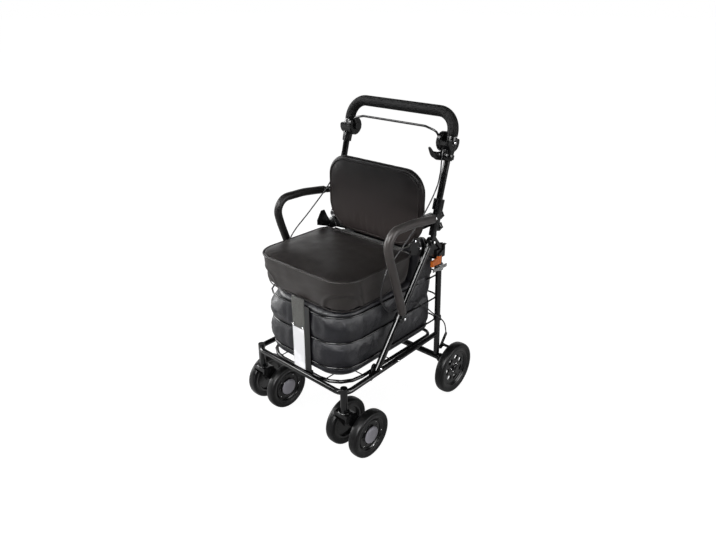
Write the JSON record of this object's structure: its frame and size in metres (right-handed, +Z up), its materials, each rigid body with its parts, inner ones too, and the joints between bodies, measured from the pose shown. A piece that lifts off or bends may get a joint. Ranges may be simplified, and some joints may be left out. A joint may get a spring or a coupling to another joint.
{
  "type": "shopping rollator",
  "caption": "Folding shopping rollator with twin front casters, a bag in a wire basket, a padded lid seat, a backrest, armrests and a braked push handle.",
  "frame": {"origin": "middle of the footprint on the floor", "axes": "+Z up, -Y forward towards the casters, +X towards the right side"},
  "size_m": [0.4788, 0.5967, 0.946],
  "materials": {
    "black_steel": "gloss black powder coat",
    "grey_steel": "grey steel",
    "tyre_rubber": "matt grey rubber",
    "black_plastic": "black moulded plastic",
    "cap_plastic": "bluish grey plastic",
    "orange_plastic": "orange plastic",
    "grip_foam": "matt black foam",
    "armrest_foam": "warm black foam",
    "seat_leatherette": "dark grey leatherette",
    "back_leatherette": "black leatherette",
    "bag_fabric": "coated black cloth",
    "strap_webbing": "grey webbing",
    "label_film": "blank white film",
    "cable_jacket": "dark grey cable jacket"
  },
  "bodies": {
    "frame": {"base_rail": "black_steel", "rear_axle": "black_steel", "wire_basket": "black_steel", "bag": "bag_fabric", "front_strap": "strap_webbing", "label_patch": "label_film", "seat_cross_bar": "black_steel", "seat_flap": "strap_webbing", "latch_catch": "grey_steel", "rear_leg_left": "black_steel", "side_strut_left": "black_steel", "hinge_plate_left": "black_plastic", "brake_cable_left": "cable_jacket", "rear_leg_right": "black_steel", "side_strut_right": "black_steel", "hinge_plate_right": "black_plastic", "brake_cable_right": "cable_jacket"},
    "caster_swivel_left": {"caster_fork_left": "black_plastic"},
    "caster_wheel_left_inner": {"caster_tyre_left_inner": "tyre_rubber", "caster_hub_left_inner": "black_plastic", "caster_cap_left_inner": "cap_plastic"},
    "caster_wheel_left_outer": {"caster_tyre_left_outer": "tyre_rubber", "caster_hub_left_outer": "black_plastic", "caster_cap_left_outer": "cap_plastic"},
    "rear_wheel_left": {"rear_tyre_left": "tyre_rubber", "rear_hub_left": "black_plastic"},
    "caster_swivel_right": {"caster_fork_right": "black_plastic"},
    "caster_wheel_right_inner": {"caster_tyre_right_inner": "tyre_rubber", "caster_hub_right_inner": "black_plastic", "caster_cap_right_inner": "cap_plastic"},
    "caster_wheel_right_outer": {"caster_tyre_right_outer": "tyre_rubber", "caster_hub_right_outer": "black_plastic", "caster_cap_right_outer": "cap_plastic"},
    "rear_wheel_right": {"rear_tyre_right": "tyre_rubber", "rear_hub_right": "black_plastic"},
    "seat_lid": {"seat_cushion": "seat_leatherette", "seat_board": "bag_fabric"},
    "latch": {"latch_lever": "orange_plastic"},
    "fold": {"backrest_frame": "black_steel", "backrest_pad": "back_leatherette", "handle_tube_left": "black_steel", "height_clamp_left": "black_plastic", "handle_tube_right": "black_steel", "height_clamp_right": "black_plastic"},
    "armrest_left": {"armrest_tube_left": "black_steel", "armrest_foam_left": "armrest_foam"},
    "collar_left": {"slide_collar_left": "black_plastic"},
    "knob_left": {"clamp_knob_left": "black_plastic"},
    "armrest_right": {"armrest_tube_right": "black_steel", "armrest_foam_right": "armrest_foam"},
    "collar_right": {"slide_collar_right": "black_plastic"},
    "knob_right": {"clamp_knob_right": "black_plastic"},
    "push_handle": {"handle_bar": "black_steel", "handle_grip": "grip_foam", "bag_hook": "black_plastic", "brake_housing_left": "black_plastic", "brake_housing_right": "black_plastic"},
    "brake_bar_body": {"brake_bar": "black_steel"},
    "brake_shoe_left": {"brake_arm_left": "black_steel"},
    "brake_shoe_right": {"brake_arm_right": "black_steel"}
  },
  "joints": [
    {"name": "caster_left_swivel", "type": "hinge", "parent": "frame", "child": "caster_swivel_left", "pos_m": [-0.17733, -0.27833, 0.16], "axis": [0, 0, 1], "continuous": true},
    {"name": "caster_left_inner_roll", "type": "hinge", "parent": "caster_swivel_left", "child": "caster_wheel_left_inner", "pos_m": [-0.13234, -0.22434, 0.0736], "axis": [1, 0, 0], "continuous": true},
    {"name": "caster_left_outer_roll", "type": "hinge", "parent": "caster_swivel_left", "child": "caster_wheel_left_outer", "pos_m": [-0.22234, -0.22434, 0.0736], "axis": [1, 0, 0], "continuous": true},
    {"name": "rear_left_roll", "type": "hinge", "parent": "frame", "child": "rear_wheel_left", "pos_m": [-0.218, 0.2106, 0.0875], "axis": [1, 0, 0], "continuous": true},
    {"name": "caster_right_swivel", "type": "hinge", "parent": "frame", "child": "caster_swivel_right", "pos_m": [0.17733, -0.27833, 0.16], "axis": [0, 0, 1], "continuous": true},
    {"name": "caster_right_inner_roll", "type": "hinge", "parent": "caster_swivel_right", "child": "caster_wheel_right_inner", "pos_m": [0.13234, -0.22434, 0.0736], "axis": [1, 0, 0], "continuous": true},
    {"name": "caster_right_outer_roll", "type": "hinge", "parent": "caster_swivel_right", "child": "caster_wheel_right_outer", "pos_m": [0.22234, -0.22434, 0.0736], "axis": [1, 0, 0], "continuous": true},
    {"name": "rear_right_roll", "type": "hinge", "parent": "frame", "child": "rear_wheel_right", "pos_m": [0.218, 0.2106, 0.0875], "axis": [1, 0, 0], "continuous": true},
    {"name": "seat_lift", "type": "hinge", "parent": "frame", "child": "seat_lid", "pos_m": [0, 0.022, 0.546], "axis": [1, 0, 0], "range_deg": [-75, 0]},
    {"name": "latch_tilt", "type": "hinge", "parent": "frame", "child": "latch", "pos_m": [0.19, 0.1275, 0.509], "axis": [-1, 0, 0], "range_deg": [0, 25], "stiffness_Nm_per_rad": 0.3, "springref_deg": -11.46},
    {"name": "handle_fold", "type": "hinge", "parent": "frame", "child": "fold", "pos_m": [0, 0.077, 0.573], "axis": [1, 0, 0], "range_deg": [0, 60], "deforming": ["brake_cable_left", "brake_cable_right"]},
    {"name": "armrest_left_turn", "type": "hinge", "parent": "fold", "child": "armrest_left", "pos_m": [-0.2105, 0.067, 0.651], "axis": [1, 0, 0], "range_deg": [-54.1, 0]},
    {"name": "collar_left_slide", "type": "slide", "parent": "frame", "child": "collar_left", "axis": [0, -0.5824, -0.8129], "range_m": [0, 0.0657]},
    {"name": "knob_left_turn", "type": "hinge", "parent": "fold", "child": "knob_left", "pos_m": [-0.195, 0.10793, 0.61197], "axis": [0, 0.9688, -0.248], "range_deg": [0, 270]},
    {"name": "armrest_right_turn", "type": "hinge", "parent": "fold", "child": "armrest_right", "pos_m": [0.2105, 0.067, 0.651], "axis": [1, 0, 0], "range_deg": [-54.1, 0]},
    {"name": "collar_right_slide", "type": "slide", "parent": "frame", "child": "collar_right", "axis": [0, -0.5824, -0.8129], "range_m": [0, 0.0657]},
    {"name": "knob_right_turn", "type": "hinge", "parent": "fold", "child": "knob_right", "pos_m": [0.195, 0.10793, 0.61197], "axis": [0, 0.9688, -0.248], "range_deg": [0, 270]},
    {"name": "handle_height", "type": "slide", "parent": "fold", "child": "push_handle", "axis": [0, -0.248, -0.9688], "range_m": [0, 0.055]},
    {"name": "brake_squeeze", "type": "hinge", "parent": "push_handle", "child": "brake_bar_body", "pos_m": [0, 0.14642, 0.852], "axis": [-1, 0, 0], "range_deg": [0, 20], "stiffness_Nm_per_rad": 1},
    {"name": "brake_left_press", "type": "hinge", "parent": "frame", "child": "brake_shoe_left", "pos_m": [-0.178, 0.16402, 0.176], "axis": [-1, 0, 0], "range_deg": [0, 8.1]},
    {"name": "brake_right_press", "type": "hinge", "parent": "frame", "child": "brake_shoe_right", "pos_m": [0.178, 0.16402, 0.176], "axis": [-1, 0, 0], "range_deg": [0, 8.1]}
  ],
  "couplings": [
    {"joint": "armrest_left_turn", "follows": "handle_fold", "ratio": -0.8928},
    {"joint": "collar_left_slide", "follows": "handle_fold", "m_per_rad": 0.0623},
    {"joint": "armrest_right_turn", "follows": "handle_fold", "ratio": -0.8928},
    {"joint": "collar_right_slide", "follows": "handle_fold", "m_per_rad": 0.0623},
    {"joint": "brake_left_press", "follows": "brake_squeeze", "ratio": 0.4},
    {"joint": "brake_right_press", "follows": "brake_squeeze", "ratio": 0.4}
  ]
}
